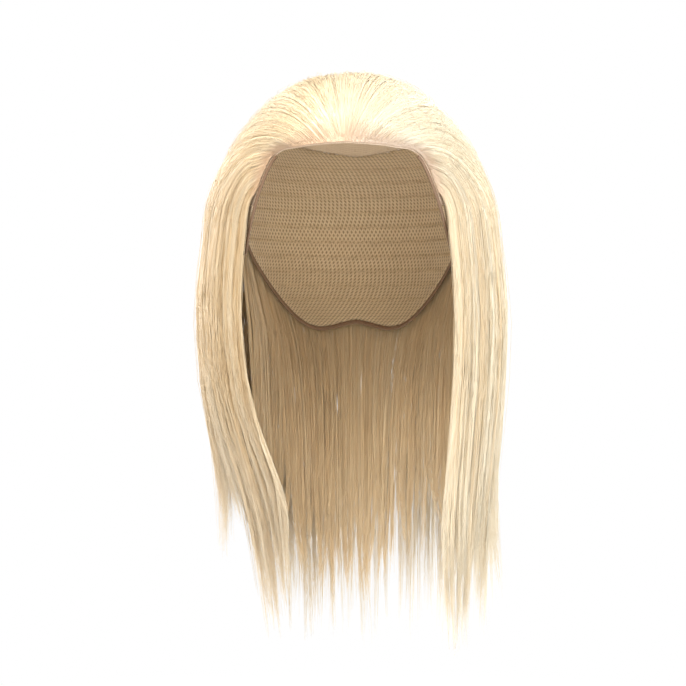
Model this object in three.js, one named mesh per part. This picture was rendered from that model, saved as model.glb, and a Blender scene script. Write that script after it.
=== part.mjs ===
// A straight, shoulder-length wig: hair in locks on a sewn cap with a monofilament top.
// Millimetres. +Z is up, the face looks along -Y, and +X is the wearer's left.
// The origin is the crown point inside the cap, where the top of the head touches it.
import * as THREE from "three";

// The head that fits: half breadth, half length, and height from its widest level to the crown.
const HEAD = { breadth: 76, length: 97, height: 102 };
const CAP_WALL = 1;
const SEAM_GAP = 0.4;

// Hair lies on the cap at its roots and stands off it by these amounts where it falls free.
const STAND_OFF = { breadth: 17, length: 9, height: 3 };
const ROOT_CLEARANCE = 0.4;
const FALL_CLEARANCE = 1.6;
const ROOT_THICKNESS = 2.2;
const LOCK_EDGE_THICKNESS = 6.2;
const LOCK_CREST = 2.8;
const EAR_FLARE = 5;
const EAR_FLARE_DROP = 42;

const HAIR_COLOUR = 0xe9d3a4;
const INNER_HAIR_COLOUR = 0xcaa873;
const LACE_COLOUR = 0xd9bf9f;
const NET_COLOUR = 0xd2b48a;
const TAPE_COLOUR = 0x6f5747;

// The cap's edge, from the middle of the forehead to the middle of the nape. Angles are degrees:
// azimuth is measured from the front towards a side, polar from straight up.
const CAP_EDGE = [
  { at: "forehead", azimuth: 0, polar: 56 },
  { at: "brow", azimuth: 30, polar: 57.5 },
  { at: "temple", azimuth: 48, polar: 61 },
  { at: "sideburn", azimuth: 55, polar: 75 },
  { at: "cheek", azimuth: 61, polar: 87 },
  { at: "ear_tab", azimuth: 71, polar: 97 },
  { at: "above_ear", azimuth: 92, polar: 88 },
  { at: "behind_ear", azimuth: 114, polar: 101 },
  { at: "nape_corner", azimuth: 146, polar: 127 },
  { at: "nape", azimuth: 180, polar: 125 },
];
const MONO_EDGE = [
  { at: "front", azimuth: 0, polar: 40 },
  { at: "side", azimuth: 90, polar: 46 },
  { at: "back", azimuth: 180, polar: 54 },
];
const TAB = { from: 59.5, to: 85, top: 80 };
const BINDING = { from: 46.75, width: 3, thickness: 1.4 };
const FRONT_STEP = 4.25;
const NET_COLUMNS = 44;

// The outer hair from the middle of the hairline, past a temple, to a sideburn. A strand leaves the hairline at azimuth
// root, is swept towards a crest at azimuth over and polar angle crest, and falls at azimuth fall.
// stand is its share of STAND_OFF, and loft is how much fuller it is at the crest.
const COMBING = [
  { at: "middle", root: 0, over: 180, crest: 30, fall: 180, stand: 1, loft: 1.2 },
  { at: "crown", root: 4, over: 120, crest: 30, fall: 156, stand: 1, loft: 2.5 },
  { at: "swirl", root: 10, over: 86, crest: 35, fall: 132, stand: 1, loft: 1.5 },
  { at: "forehead", root: 22, over: 76, crest: 45, fall: 110, stand: 1, loft: 0.5 },
  { at: "brow", root: 34, over: 76, crest: 53, fall: 93, stand: 1, loft: 0 },
  { at: "corner", root: 43, over: 74, crest: 60, fall: 79, stand: 0.85, loft: 0 },
  { at: "temple", root: 49, over: 68, crest: 68, fall: 69, stand: 0.45, loft: 0 },
  { at: "sideburn", root: 55, over: 60, crest: 80, fall: 59, stand: 0.06, loft: 0 },
];

// How far each side has moved from a plumb fall at the level DRAPED, by fall azimuth. inward is
// towards the middle, forward towards the face.
const DRAPED = -286;
const DRAPE_LEFT = [
  { at: "front_edge", fall: 59, inward: 10, forward: 16 },
  { at: "ear", fall: 90, inward: 8, forward: 14 },
  { at: "back", fall: 180, inward: 0, forward: 14 },
];
const DRAPE_RIGHT = [
  { at: "front_edge", fall: 59, inward: 31, forward: -22 },
  { at: "cheek", fall: 74, inward: 28, forward: -20 },
  { at: "ear", fall: 86, inward: 20, forward: -16 },
  { at: "widest", fall: 100, inward: 15, forward: -10 },
  { at: "free_lock", fall: 108, inward: 16, forward: -5 },
  { at: "ear_back", fall: 116, inward: 26, forward: 0 },
  { at: "behind_ear", fall: 132, inward: 26, forward: 6 },
  { at: "back", fall: 180, inward: 0, forward: 14 },
];

// The levels of the falling hair below the head's widest one. Each curtain is fused down to one of
// them, where its locks part.
const FALL_LEVELS = [-126, -178, -232, -286, -318, -346];
const PARTS_AT = {
  side_hair_right: -232,
  front_hair_right: -232,
  top_hair: -346,
  front_hair_left: -318,
  side_hair_left: -318,
};

// Each row is one lock, in order round the head. width is its share of the curtain beside the other
// locks, tip is the level of its end, and sideways and forward are how far the end swings away from
// the line of the fall.
const LOCKS = {
  side_hair_right: [
    { width: 1, tip: -366, sideways: 5, forward: 0 },
    { width: 1.25, tip: -386, sideways: 12, forward: 0 },
    { width: 0.85, tip: -322, sideways: -2, forward: 0 },
    { width: 1.1, tip: -332, sideways: -4, forward: 0 },
  ],
  front_hair_right: [
    { width: 1, tip: -290, sideways: -3, forward: 0 },
    { width: 1.25, tip: -312, sideways: -1, forward: 0 },
    { width: 0.85, tip: -330, sideways: -3, forward: -2 },
    { width: 1.1, tip: -368, sideways: 14, forward: 0 },
    { width: 0.8, tip: -388, sideways: 8, forward: 2 },
    { width: 1.2, tip: -380, sideways: 2, forward: 4 },
  ],
  top_hair: [
    { width: 1, tip: -392, sideways: 2, forward: 4 },
    { width: 1.25, tip: -384, sideways: 1, forward: 4 },
    { width: 0.85, tip: -398, sideways: 2, forward: 3 },
    { width: 1.1, tip: -390, sideways: 0, forward: 4 },
    { width: 0.8, tip: -400, sideways: 1, forward: 4 },
    { width: 1.2, tip: -394, sideways: -1, forward: 5 },
    { width: 0.95, tip: -402, sideways: 0, forward: 4 },
    { width: 1.15, tip: -390, sideways: -1, forward: 4 },
    { width: 0.8, tip: -398, sideways: -2, forward: 3 },
    { width: 1.05, tip: -386, sideways: 0, forward: 4 },
    { width: 1.3, tip: -396, sideways: -2, forward: 4 },
    { width: 0.9, tip: -384, sideways: -1, forward: 3 },
  ],
  front_hair_left: [
    { width: 1.2, tip: -388, sideways: -3, forward: 2 },
    { width: 0.95, tip: -376, sideways: -2, forward: 2 },
    { width: 1.15, tip: -384, sideways: 0, forward: 3 },
    { width: 0.8, tip: -366, sideways: 3, forward: 4 },
    { width: 1.05, tip: -356, sideways: 9, forward: 5 },
    { width: 1.3, tip: -344, sideways: 11, forward: 6 },
  ],
  side_hair_left: [
    { width: 1.2, tip: -350, sideways: 9, forward: 8 },
    { width: 0.95, tip: -378, sideways: 1, forward: 10 },
    { width: 1.15, tip: -394, sideways: -4, forward: 11 },
    { width: 0.8, tip: -388, sideways: 3, forward: 10 },
  ],
  nape_hair: [
    { width: 1, tip: -312, sideways: 6, forward: 3 },
    { width: 1.25, tip: -340, sideways: 2, forward: 0 },
    { width: 0.85, tip: -356, sideways: 0, forward: -4 },
    { width: 1.1, tip: -368, sideways: 0, forward: -4 },
    { width: 0.8, tip: -362, sideways: 0, forward: -4 },
    { width: 1.2, tip: -370, sideways: 0, forward: -4 },
    { width: 0.95, tip: -354, sideways: 2, forward: -4 },
    { width: 1.15, tip: -330, sideways: 4, forward: 3 },
  ],
};

// The shares of the outer hair, as root azimuths, from the wearer's right sideburn to the left one.
const SHARES = {
  side_hair_right: [-55, -36],
  front_hair_right: [-36, -10],
  top_hair: [-10, 10],
  front_hair_left: [10, 36],
  side_hair_left: [36, 55],
};

// The weft hair under it: where it is sewn on, how it lies on the neck, and its thickness.
const NAPE = {
  from: 105,
  to: 255,
  root: 93,
  lowest: 122,
  neckTurn: 34,
  thickness: 4.2,
  crest: 1.6,
  levels: [-178, -214, -250, -286],
};
const NECK_INWARD = { middle: 25, sides: 8 };

const DEGREE = Math.PI / 180;
const DOME_ROWS = 9;
const END_ROWS = 3;
const OUTER_COLUMNS = 4;
const INNER_COLUMNS = 2;

// Strands crowd together as they are swept off the hairline, so the gap between two curtains is this
// many times wider in degrees than it is at the roots.
const CROWDING = 2.2;

const smooth = (x) => {
  const t = Math.min(1, Math.max(0, x));
  return t * t * (3 - 2 * t);
};

// The value of a column of a table at a place between its rows, on a curve through them.
function between(table, key, column, place) {
  const last = table.length - 1;
  let i = 0;
  while (i < last - 1 && place > table[i + 1][key]) i += 1;
  const slope = (j) => {
    const a = table[Math.max(0, j - 1)];
    const b = table[Math.min(last, j + 1)];
    return (b[column] - a[column]) / (b[key] - a[key]);
  };
  const [low, high] = [table[i], table[i + 1]];
  const span = high[key] - low[key];
  const t = Math.min(1, Math.max(0, (place - low[key]) / span));
  const lowPart = (1 + 2 * t) * (1 - t) ** 2 * low[column] + t * (1 - t) ** 2 * span * slope(i);
  const highPart = t * t * (3 - 2 * t) * high[column] - t * t * (1 - t) * span * slope(i + 1);
  return lowPart + highPart;
}

// The direction from the head's centre at an azimuth and polar angle.
function direction(azimuth, polar) {
  const flat = Math.sin(polar * DEGREE);
  return new THREE.Vector3(
    flat * Math.sin(azimuth * DEGREE),
    -flat * Math.cos(azimuth * DEGREE),
    Math.cos(polar * DEGREE),
  );
}

// The point a given distance off the head in a direction. share of STAND_OFF is added to it.
function offHead(toward, distance, share = 0) {
  return new THREE.Vector3(
    (HEAD.breadth + distance + STAND_OFF.breadth * share) * toward.x,
    (HEAD.length + distance + STAND_OFF.length * share) * toward.y,
    (HEAD.height + distance + STAND_OFF.height * share) * toward.z - HEAD.height,
  );
}

const foldedAzimuth = (azimuth) => {
  const turned = ((azimuth % 360) + 360) % 360;
  return turned > 180 ? 360 - turned : turned;
};
const capEdge = (azimuth) => between(CAP_EDGE, "azimuth", "polar", foldedAzimuth(azimuth));
const monoEdge = (azimuth) => between(MONO_EDGE, "azimuth", "polar", foldedAzimuth(azimuth));

// Collects shared corners and faces, and turns the closed result so that its faces point out.
class Solid {
  constructor() {
    this.corners = [];
    this.faces = [];
    this.known = new Map();
  }

  corner(name, make) {
    if (!this.known.has(name)) {
      this.known.set(name, this.corners.length);
      this.corners.push(make());
    }
    return this.known.get(name);
  }

  face(a, b, c) {
    if (a !== b && b !== c && c !== a) this.faces.push([a, b, c]);
  }

  quad(a, b, c, d) {
    this.face(a, b, c);
    this.face(a, c, d);
  }

  // A strip between two runs of corners that go the same way, the first run with more of them.
  strip(many, few) {
    const ratio = (many.length - 1) / (few.length - 1);
    for (let i = 0; i < few.length - 1; i += 1) {
      const middle = Math.round((i + 0.5) * ratio);
      for (let j = Math.round(i * ratio); j < Math.round((i + 1) * ratio); j += 1) {
        this.face(many[j], many[j + 1], few[j < middle ? i : i + 1]);
      }
      this.face(many[middle], few[i + 1], few[i]);
    }
  }

  geometry() {
    let volume = 0;
    for (const [a, b, c] of this.faces) {
      const across = new THREE.Vector3().crossVectors(this.corners[b], this.corners[c]);
      volume += this.corners[a].dot(across);
    }
    const faces = volume < 0 ? this.faces.map(([a, b, c]) => [a, c, b]) : this.faces;
    const made = new THREE.BufferGeometry().setFromPoints(this.corners);
    made.setIndex(faces.flat());
    made.computeVertexNormals();
    return made;
  }
}

// A panel of the cap: the wall between two edges, given as polar angles at each azimuth.
function capPanel({ from, to, columns, rows, upper, lower }) {
  const solid = new Solid();
  const closed = to - from >= 360;
  const pole = upper === null;
  const at = (side, row, column) => {
    const place = closed ? column % columns : column;
    const name = pole && row === 0 ? `${side} pole` : `${side} ${row} ${place}`;
    return solid.corner(name, () => {
      const azimuth = from + ((to - from) * place) / columns;
      const top = pole ? 0 : upper(azimuth);
      const polar = top + ((lower(azimuth) - top) * row) / rows;
      return offHead(direction(azimuth, polar), side === "out" ? CAP_WALL : 0);
    });
  };
  for (let c = 0; c < columns; c += 1) {
    for (let r = 0; r < rows; r += 1) {
      solid.quad(at("out", r, c), at("out", r + 1, c), at("out", r + 1, c + 1), at("out", r, c + 1));
      solid.quad(at("in", r, c + 1), at("in", r + 1, c + 1), at("in", r + 1, c), at("in", r, c));
    }
    solid.quad(at("in", rows, c), at("in", rows, c + 1), at("out", rows, c + 1), at("out", rows, c));
    if (!pole) solid.quad(at("out", 0, c), at("out", 0, c + 1), at("in", 0, c + 1), at("in", 0, c));
  }
  if (!closed) {
    for (let r = 0; r < rows; r += 1) {
      solid.quad(at("in", r, 0), at("in", r + 1, 0), at("out", r + 1, 0), at("out", r, 0));
      solid.quad(
        at("out", r, columns),
        at("out", r + 1, columns),
        at("in", r + 1, columns),
        at("in", r, columns),
      );
    }
  }
  return solid.geometry();
}

const SEAM_ANGLE = SEAM_GAP / HEAD.length / DEGREE;

const monoTop = () =>
  capPanel({ from: 0, to: 360, columns: 28, rows: 5, upper: null, lower: monoEdge });

const belowMono = (azimuth) => monoEdge(azimuth) + SEAM_ANGLE;

const laceFront = () =>
  capPanel({
    from: -TAB.to,
    to: TAB.to,
    columns: (2 * TAB.to) / FRONT_STEP,
    rows: 4,
    upper: belowMono,
    lower: (azimuth) => Math.min(capEdge(azimuth), TAB.top),
  });

const earTab = (side) =>
  capPanel({
    from: side > 0 ? TAB.from : -TAB.to,
    to: side > 0 ? TAB.to : -TAB.from,
    columns: (TAB.to - TAB.from) / FRONT_STEP,
    rows: 2,
    upper: () => TAB.top + SEAM_ANGLE,
    lower: capEdge,
  });

const NET = { from: TAB.to + SEAM_ANGLE, to: 360 - TAB.to - SEAM_ANGLE };

const netBack = () =>
  capPanel({
    ...NET,
    columns: NET_COLUMNS,
    rows: 5,
    upper: belowMono,
    lower: capEdge,
  });

// The tape on the cap's edge, from one temple round the nape to the other.
function edgeBinding() {
  const solid = new Solid();
  const front = [];
  for (let azimuth = BINDING.from; azimuth < TAB.to; azimuth += FRONT_STEP) front.push(azimuth);
  const back = Array.from({ length: NET_COLUMNS + 1 }, (_, i) => {
    return NET.from + ((NET.to - NET.from) * i) / NET_COLUMNS;
  });
  const azimuths = [...front, ...back, ...front.map((azimuth) => 360 - azimuth).reverse()];
  const steps = azimuths.length - 1;
  const onEdge = (azimuth) => offHead(direction(azimuth, capEdge(azimuth)), CAP_WALL / 2);
  const rings = azimuths.map((azimuth, i) => {
    const here = onEdge(azimuth);
    const along = onEdge(azimuth + 0.5).sub(onEdge(azimuth - 0.5)).normalize();
    const out = here.clone().add(new THREE.Vector3(0, 0, HEAD.height));
    out.divide(new THREE.Vector3(HEAD.breadth ** 2, HEAD.length ** 2, HEAD.height ** 2)).normalize();
    const away = new THREE.Vector3().crossVectors(along, out).normalize();
    return [
      [SEAM_GAP, 0.5],
      [SEAM_GAP + BINDING.width, 0.5],
      [SEAM_GAP + BINDING.width, -0.5],
      [SEAM_GAP, -0.5],
    ].map(([distance, height], k) =>
      solid.corner(`${i} ${k}`, () =>
        here
          .clone()
          .addScaledVector(away, distance)
          .addScaledVector(out, height * BINDING.thickness),
      ),
    );
  });
  for (let i = 0; i < steps; i += 1) {
    for (let k = 0; k < 4; k += 1) {
      const next = (k + 1) % 4;
      solid.quad(rings[i][k], rings[i][next], rings[i + 1][next], rings[i + 1][k]);
    }
  }
  solid.quad(rings[0][3], rings[0][2], rings[0][1], rings[0][0]);
  solid.quad(...rings[steps]);
  return solid.geometry();
}

// A curtain of hair: locks side by side, fused from their roots to the level where they part, each
// tapering to its own point below it. pointAt gives a point of a lock at a share of its width, on a
// row, and lift of the way from its inner to its outer side. trim is the gap left at both ends.
function hairCurtain({ locks, from, to, fusedRows, pointAt, trim }) {
  const solid = new Solid();
  const count = locks.length;
  const rows = fusedRows + END_ROWS;
  const whole = locks.reduce((sum, lock) => sum + lock.width, 0);
  const before = locks.map((_, i) => locks.slice(0, i).reduce((sum, lock) => sum + lock.width, 0));
  const placeOf = (lock, share) => {
    const first = lock === 0 && share === 0 ? trim : 0;
    const last = lock === count - 1 && share === 1 ? -trim : 0;
    return from + ((to - from) * (before[lock] + share * locks[lock].width)) / whole + first + last;
  };
  const at = (side, row, lock, column, columns) => {
    if (row === rows) return solid.corner(`tip ${lock}`, () => pointAt(lock, 0.5, row, 0, placeOf));
    const shared = row <= fusedRows;
    const name = shared
      ? `${side} ${row} ${lock * columns + column}`
      : `${side} ${row} ${lock} ${column}`;
    const share = column / columns;
    return solid.corner(name, () => pointAt(lock, share, row, side === "out" ? 1 : 0, placeOf));
  };
  const outer = (row, lock, column) => at("out", row, lock, column, OUTER_COLUMNS);
  const inner = (row, lock, column) => at("in", row, lock, column, INNER_COLUMNS);
  for (let lock = 0; lock < count; lock += 1) {
    for (let r = 0; r < rows; r += 1) {
      for (let c = 0; c < OUTER_COLUMNS; c += 1) {
        solid.quad(
          outer(r, lock, c),
          outer(r + 1, lock, c),
          outer(r + 1, lock, c + 1),
          outer(r, lock, c + 1),
        );
      }
      for (let c = 0; c < INNER_COLUMNS; c += 1) {
        solid.quad(
          inner(r, lock, c + 1),
          inner(r + 1, lock, c + 1),
          inner(r + 1, lock, c),
          inner(r, lock, c),
        );
      }
      const free = r >= fusedRows;
      if (free || lock === 0) {
        solid.quad(inner(r, lock, 0), inner(r + 1, lock, 0), outer(r + 1, lock, 0), outer(r, lock, 0));
      }
      if (free || lock === count - 1) {
        solid.quad(
          outer(r, lock, OUTER_COLUMNS),
          outer(r + 1, lock, OUTER_COLUMNS),
          inner(r + 1, lock, INNER_COLUMNS),
          inner(r, lock, INNER_COLUMNS),
        );
      }
    }
    const outerRoots = Array.from({ length: OUTER_COLUMNS + 1 }, (_, c) => outer(0, lock, c));
    const innerRoots = Array.from({ length: INNER_COLUMNS + 1 }, (_, c) => inner(0, lock, c));
    solid.strip(outerRoots, innerRoots);
  }
  return solid.geometry();
}

// How much of a lock's width is left at a share of the way from where the locks part to its tip.
const taper = (share) => (1 - share) ** 0.75;

// The curve that a strand of the outer hair is combed along, named by its root azimuth.
function combed(root) {
  const near = Math.abs(root);
  const side = root < 0 ? -1 : 1;
  const fall = side * between(COMBING, "root", "fall", near);
  const over = side * between(COMBING, "root", "over", near);
  const crest = between(COMBING, "root", "crest", near);
  const start = direction(root, capEdge(root) - 0.9);
  const drape = side < 0 ? DRAPE_RIGHT : DRAPE_LEFT;
  return {
    side,
    start,
    crest: direction(over, crest),
    level: direction(fall, 90),
    stand: between(COMBING, "root", "stand", near),
    loft: between(COMBING, "root", "loft", near),
    inward: between(drape, "fall", "inward", Math.abs(fall)),
    forward: between(drape, "fall", "forward", Math.abs(fall)),
  };
}

// A point of the outer hair. way goes from 0 at the root to 1 at the head's widest level, level is the
// height of a point below that, and thickness is the distance off the inside of the curtain.
function combedPoint(root, way, level, thickness) {
  const strand = combed(root);
  const t = way ** 1.2;
  const toward = strand.start
    .clone()
    .multiplyScalar((1 - t) ** 2)
    .addScaledVector(strand.crest, 2 * t * (1 - t))
    .addScaledVector(strand.level, t * t)
    .normalize();
  const clearance = ROOT_CLEARANCE + (FALL_CLEARANCE - ROOT_CLEARANCE) * smooth(t * 10);
  const share = strand.stand * smooth(t);
  const loft = strand.loft * Math.sin(Math.PI * t) ** 2;
  const point = offHead(toward, CAP_WALL + clearance + loft + thickness, share);
  if (way < 1) return point;
  const drop = -HEAD.height - level;
  const flare = EAR_FLARE * smooth(drop / EAR_FLARE_DROP);
  const settle = Math.min(1, drop / (-HEAD.height - DRAPED)) ** 3.2;
  point.x += flare * toward.x - strand.side * strand.inward * settle;
  point.y -= strand.forward * settle;
  point.z = level;
  return point;
}

// A point of the weft hair: it lies on the back of the cap, then hangs beside and behind the neck.
function napePoint(azimuth, way, level, thickness) {
  const lowest = Math.min(capEdge(azimuth) + 4, NAPE.lowest);
  const toward = direction(azimuth, NAPE.root + (lowest - NAPE.root) * way);
  const clearance = ROOT_CLEARANCE + (FALL_CLEARANCE - ROOT_CLEARANCE) * smooth(way * 10);
  const point = offHead(toward, CAP_WALL + clearance + thickness);
  if (way < 1) return point;
  const drop = Math.max(0, point.z - level);
  const aside = (Math.abs(azimuth - 180) / (180 - NAPE.from)) ** 3;
  const reach = NECK_INWARD.middle + (NECK_INWARD.sides - NECK_INWARD.middle) * aside;
  const inward = reach * (1 - Math.exp(-drop / NAPE.neckTurn));
  point.x -= inward * toward.x;
  point.y -= inward * toward.y;
  point.z -= drop;
  return point;
}

// One node of hair. strandPoint is combedPoint or napePoint, and levels are its fused levels below the
// part that lies on the head.
function hairNode({ name, from, to, levels, edge, crest, trim, strandPoint }) {
  const locks = LOCKS[name];
  const parted = levels[levels.length - 1];
  const fusedRows = DOME_ROWS + levels.length;
  const thicknessAt = (row, share) => {
    const grown = smooth((row / DOME_ROWS) * 2.2);
    return ROOT_THICKNESS + grown * (edge - ROOT_THICKNESS + crest * Math.sin(Math.PI * share));
  };
  const pointAt = (lock, share, row, lift, placeOf) => {
    const way = Math.min(1, row / DOME_ROWS);
    const thickness = lift * thicknessAt(row, share);
    if (row <= fusedRows) {
      const level = row > DOME_ROWS ? levels[row - DOME_ROWS - 1] : -HEAD.height;
      return strandPoint(placeOf(lock, share), way, level, thickness);
    }
    const { tip, sideways, forward } = locks[lock];
    const along = (row - fusedRows) / END_ROWS;
    const level = parted + (tip - parted) * along;
    const full = strandPoint(placeOf(lock, share), way, level, thickness);
    const middle = strandPoint(placeOf(lock, 0.5), way, level, thicknessAt(row, 0.5) / 2);
    const end = middle.lerp(full, taper(along));
    end.x += sideways * along * along;
    end.y -= forward * along * along;
    return end;
  };
  return hairCurtain({ locks, from, to, fusedRows, pointAt, trim });
}

function outerHair(name) {
  const [from, to] = SHARES[name];
  const levels = FALL_LEVELS.slice(0, FALL_LEVELS.indexOf(PARTS_AT[name]) + 1);
  const trim = (SEAM_GAP / 2 / HEAD.length / DEGREE) * CROWDING;
  const sizes = { edge: LOCK_EDGE_THICKNESS, crest: LOCK_CREST };
  return hairNode({ name, from, to, levels, trim, ...sizes, strandPoint: combedPoint });
}

function napeHair() {
  const { from, to, levels, thickness, crest } = NAPE;
  const sizes = { edge: thickness, crest };
  return hairNode({ name: "nape_hair", from, to, levels, trim: 0, ...sizes, strandPoint: napePoint });
}

function cloth(colour) {
  return new THREE.MeshStandardMaterial({ color: colour, roughness: 0.85, metalness: 0 });
}

function hair(colour) {
  return new THREE.MeshStandardMaterial({ color: colour, roughness: 0.45, metalness: 0 });
}

function piece(name, geometry, material) {
  const mesh = new THREE.Mesh(geometry, material);
  mesh.name = name;
  return mesh;
}

function makeCap() {
  const cap = new THREE.Group();
  cap.add(
    piece("mono_top", monoTop(), cloth(LACE_COLOUR)),
    piece("lace_front", laceFront(), cloth(LACE_COLOUR)),
    piece("ear_tab_left", earTab(1), cloth(NET_COLOUR)),
    piece("ear_tab_right", earTab(-1), cloth(NET_COLOUR)),
    piece("net_back", netBack(), cloth(NET_COLOUR)),
    piece("edge_binding", edgeBinding(), cloth(TAPE_COLOUR)),
  );
  return cap;
}

function makeHair() {
  const made = new THREE.Group();
  for (const name of Object.keys(SHARES)) made.add(piece(name, outerHair(name), hair(HAIR_COLOUR)));
  made.add(piece("nape_hair", napeHair(), hair(INNER_HAIR_COLOUR)));
  return made;
}

const wig = new THREE.Group();
wig.add(makeCap(), makeHair());

export default wig;
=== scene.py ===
# %% [markdown]
# # A straight blonde wig with a monofilament top
#
# The wig is a sewn cap with hair tied to it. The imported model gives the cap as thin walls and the
# hair as solid curtains of locks. This lesson puts cloth and stitches on the cap, and turns every
# curtain into a few thousand strands that follow the same combing.

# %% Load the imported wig
import functools
import math

import bpy
import numpy as np
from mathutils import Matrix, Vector


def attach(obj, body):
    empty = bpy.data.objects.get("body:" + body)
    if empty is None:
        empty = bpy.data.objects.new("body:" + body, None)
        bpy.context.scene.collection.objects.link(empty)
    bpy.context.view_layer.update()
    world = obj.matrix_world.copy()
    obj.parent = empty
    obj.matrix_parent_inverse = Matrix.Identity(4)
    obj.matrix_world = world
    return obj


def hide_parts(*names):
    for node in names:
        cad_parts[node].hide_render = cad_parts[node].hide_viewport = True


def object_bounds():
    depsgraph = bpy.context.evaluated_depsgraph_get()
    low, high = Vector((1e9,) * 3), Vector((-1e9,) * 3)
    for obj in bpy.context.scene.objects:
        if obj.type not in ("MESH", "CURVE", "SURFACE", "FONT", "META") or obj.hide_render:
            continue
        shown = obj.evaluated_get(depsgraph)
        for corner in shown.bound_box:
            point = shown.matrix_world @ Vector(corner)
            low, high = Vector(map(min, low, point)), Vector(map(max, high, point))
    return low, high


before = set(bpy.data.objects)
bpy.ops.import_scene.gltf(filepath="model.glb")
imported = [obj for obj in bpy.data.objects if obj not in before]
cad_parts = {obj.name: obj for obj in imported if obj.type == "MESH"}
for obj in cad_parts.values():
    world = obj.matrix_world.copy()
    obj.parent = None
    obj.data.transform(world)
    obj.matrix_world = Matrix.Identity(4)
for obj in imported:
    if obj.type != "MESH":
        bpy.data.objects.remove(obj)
cad_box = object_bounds()
MM = 0.001
print("nodes", sorted(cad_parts))
print("CAD box", [[round(x, 4) for x in corner] for corner in cad_box])

# %% [markdown]
# ## Sizes
#
# A cap is shaped on a form. Here the form is half an egg, the cap's edge runs round it, and a few
# tables say how the hair is combed over it. Each piece could have sizes of its own, but the solids
# were made by these rules, so the same rules put cloth and strands where the solids are. Angles are
# degrees. Azimuth is measured from the front towards the wearer's left, and polar from straight up.
# Lengths are millimetres until a mesh is made.

# %% The form and the edge of the cap
# Half breadth, half length, and height from the widest level, which is that of the ears, to the crown.
FORM = np.array([76.0, 97.0, 102.0])
EAR_LEVEL = -FORM[2]
# How much further out the hair falls than the form reaches, in the same three directions.
STAND_OFF = np.array([17.0, 9.0, 3.0])
CAP_WALL = 1.0
SEAM_GAP = 0.4
SEAM_ANGLE = math.degrees(SEAM_GAP / FORM[1])
CAP_EDGE = {
    "azimuth": (0, 30, 48, 55, 61, 71, 92, 114, 146, 180),
    "polar": (56, 57.5, 61, 75, 87, 97, 88, 101, 127, 125),
}
MONO_EDGE = {"azimuth": (0, 90, 180), "polar": (40, 46, 54)}
TAB = {"from": 59.5, "to": 85.0, "top": 80.0}


def smooth(x):
    t = np.clip(x, 0.0, 1.0)
    return t * t * (3 - 2 * t)


def between(table, key, column, place):
    """The value of a column at a place between the table's rows, on a curve through them."""
    keys, values = table[key], table[column]
    last = len(keys) - 1
    i = 0
    while i < last - 1 and place > keys[i + 1]:
        i += 1

    def slope(j):
        a, b = max(0, j - 1), min(last, j + 1)
        return (values[b] - values[a]) / (keys[b] - keys[a])

    span = keys[i + 1] - keys[i]
    t = min(1.0, max(0.0, (place - keys[i]) / span))
    low = (1 + 2 * t) * (1 - t) ** 2 * values[i] + t * (1 - t) ** 2 * span * slope(i)
    high = t * t * (3 - 2 * t) * values[i + 1] - t * t * (1 - t) * span * slope(i + 1)
    return low + high


def edge_at(table, azimuth):
    """The polar angle of an edge, which is the same on both sides."""
    turned = azimuth % 360
    return between(table, "azimuth", "polar", 360 - turned if turned > 180 else turned)


cap_edge = functools.partial(edge_at, CAP_EDGE)
mono_edge = functools.partial(edge_at, MONO_EDGE)
print("cap edge at the forehead and nape", cap_edge(0), cap_edge(180))


# %% Places on the form
def direction(azimuth, polar):
    a, p = math.radians(azimuth), math.radians(polar)
    return np.array([math.sin(p) * math.sin(a), -math.sin(p) * math.cos(a), math.cos(p)])


def off_form(toward, distance, share=0.0):
    """The point at a distance off the form, and at a share of the falling hair's stand-off."""
    return (FORM + distance + STAND_OFF * share) * toward + np.array([0, 0, EAR_LEVEL])


def form_normal(point):
    across = (point - np.array([0, 0, EAR_LEVEL])) / FORM**2
    return across / np.linalg.norm(across)


print("front edge of the cap", off_form(direction(0, cap_edge(0)), CAP_WALL).round(1))

# %% [markdown]
# ## Writing finishes as sums
#
# A finish is easier to read as an expression than as a list of nodes. One small class stands for a
# socket: arithmetic on it adds Math nodes, and make adds any other node. Colours and vectors have
# methods of their own, because a Math node would turn a colour grey.

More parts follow.
